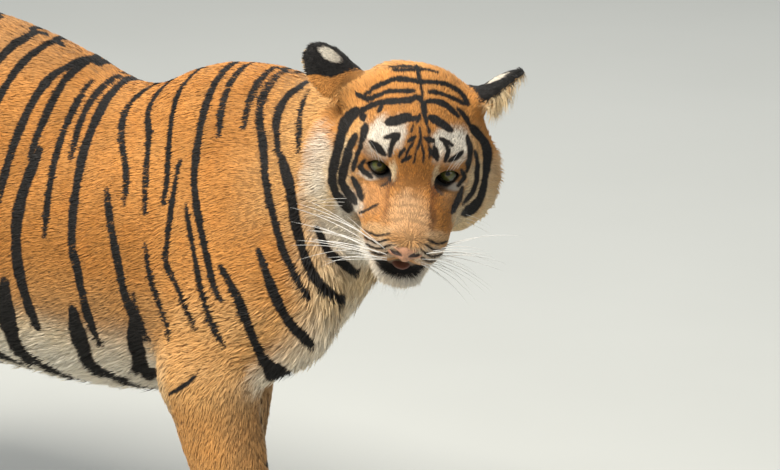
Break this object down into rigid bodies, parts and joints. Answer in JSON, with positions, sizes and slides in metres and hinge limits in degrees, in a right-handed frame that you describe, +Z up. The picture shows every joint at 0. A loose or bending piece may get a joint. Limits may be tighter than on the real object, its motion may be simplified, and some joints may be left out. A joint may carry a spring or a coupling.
{
  "type": "bengal tiger model",
  "caption": "Life-size still model of a bengal tiger standing with its head turned to its right, ears laid outward and mouth slightly open.",
  "frame": {"origin": "on the floor, under the middle of the model's outline", "axes": "+Z up; the tiger faces -Y, its right side is -X and its tail runs towards +Y"},
  "size_m": [0.4624, 1.9923, 1.008],
  "materials": {
    "coat": "short striped fur",
    "eye": "clear and glossy",
    "nose": "finely pebbled, slightly moist",
    "tongue": "moist"
  },
  "bodies": {
    "root": {"head": "coat", "ear_right": "coat", "ear_left": "coat", "eye_right": "eye", "eye_left": "eye", "nose": "nose", "tongue": "tongue", "neck": "coat", "chest": "coat", "belly": "coat", "rump": "coat", "tail_root": "coat", "tail_middle": "coat", "tail_end": "coat", "foreleg_right": "coat", "foreleg_left": "coat", "forepaw_right": "coat", "forepaw_left": "coat", "hindleg_right": "coat", "hindleg_left": "coat", "hindpaw_right": "coat", "hindpaw_left": "coat"}
  },
  "joints": []
}
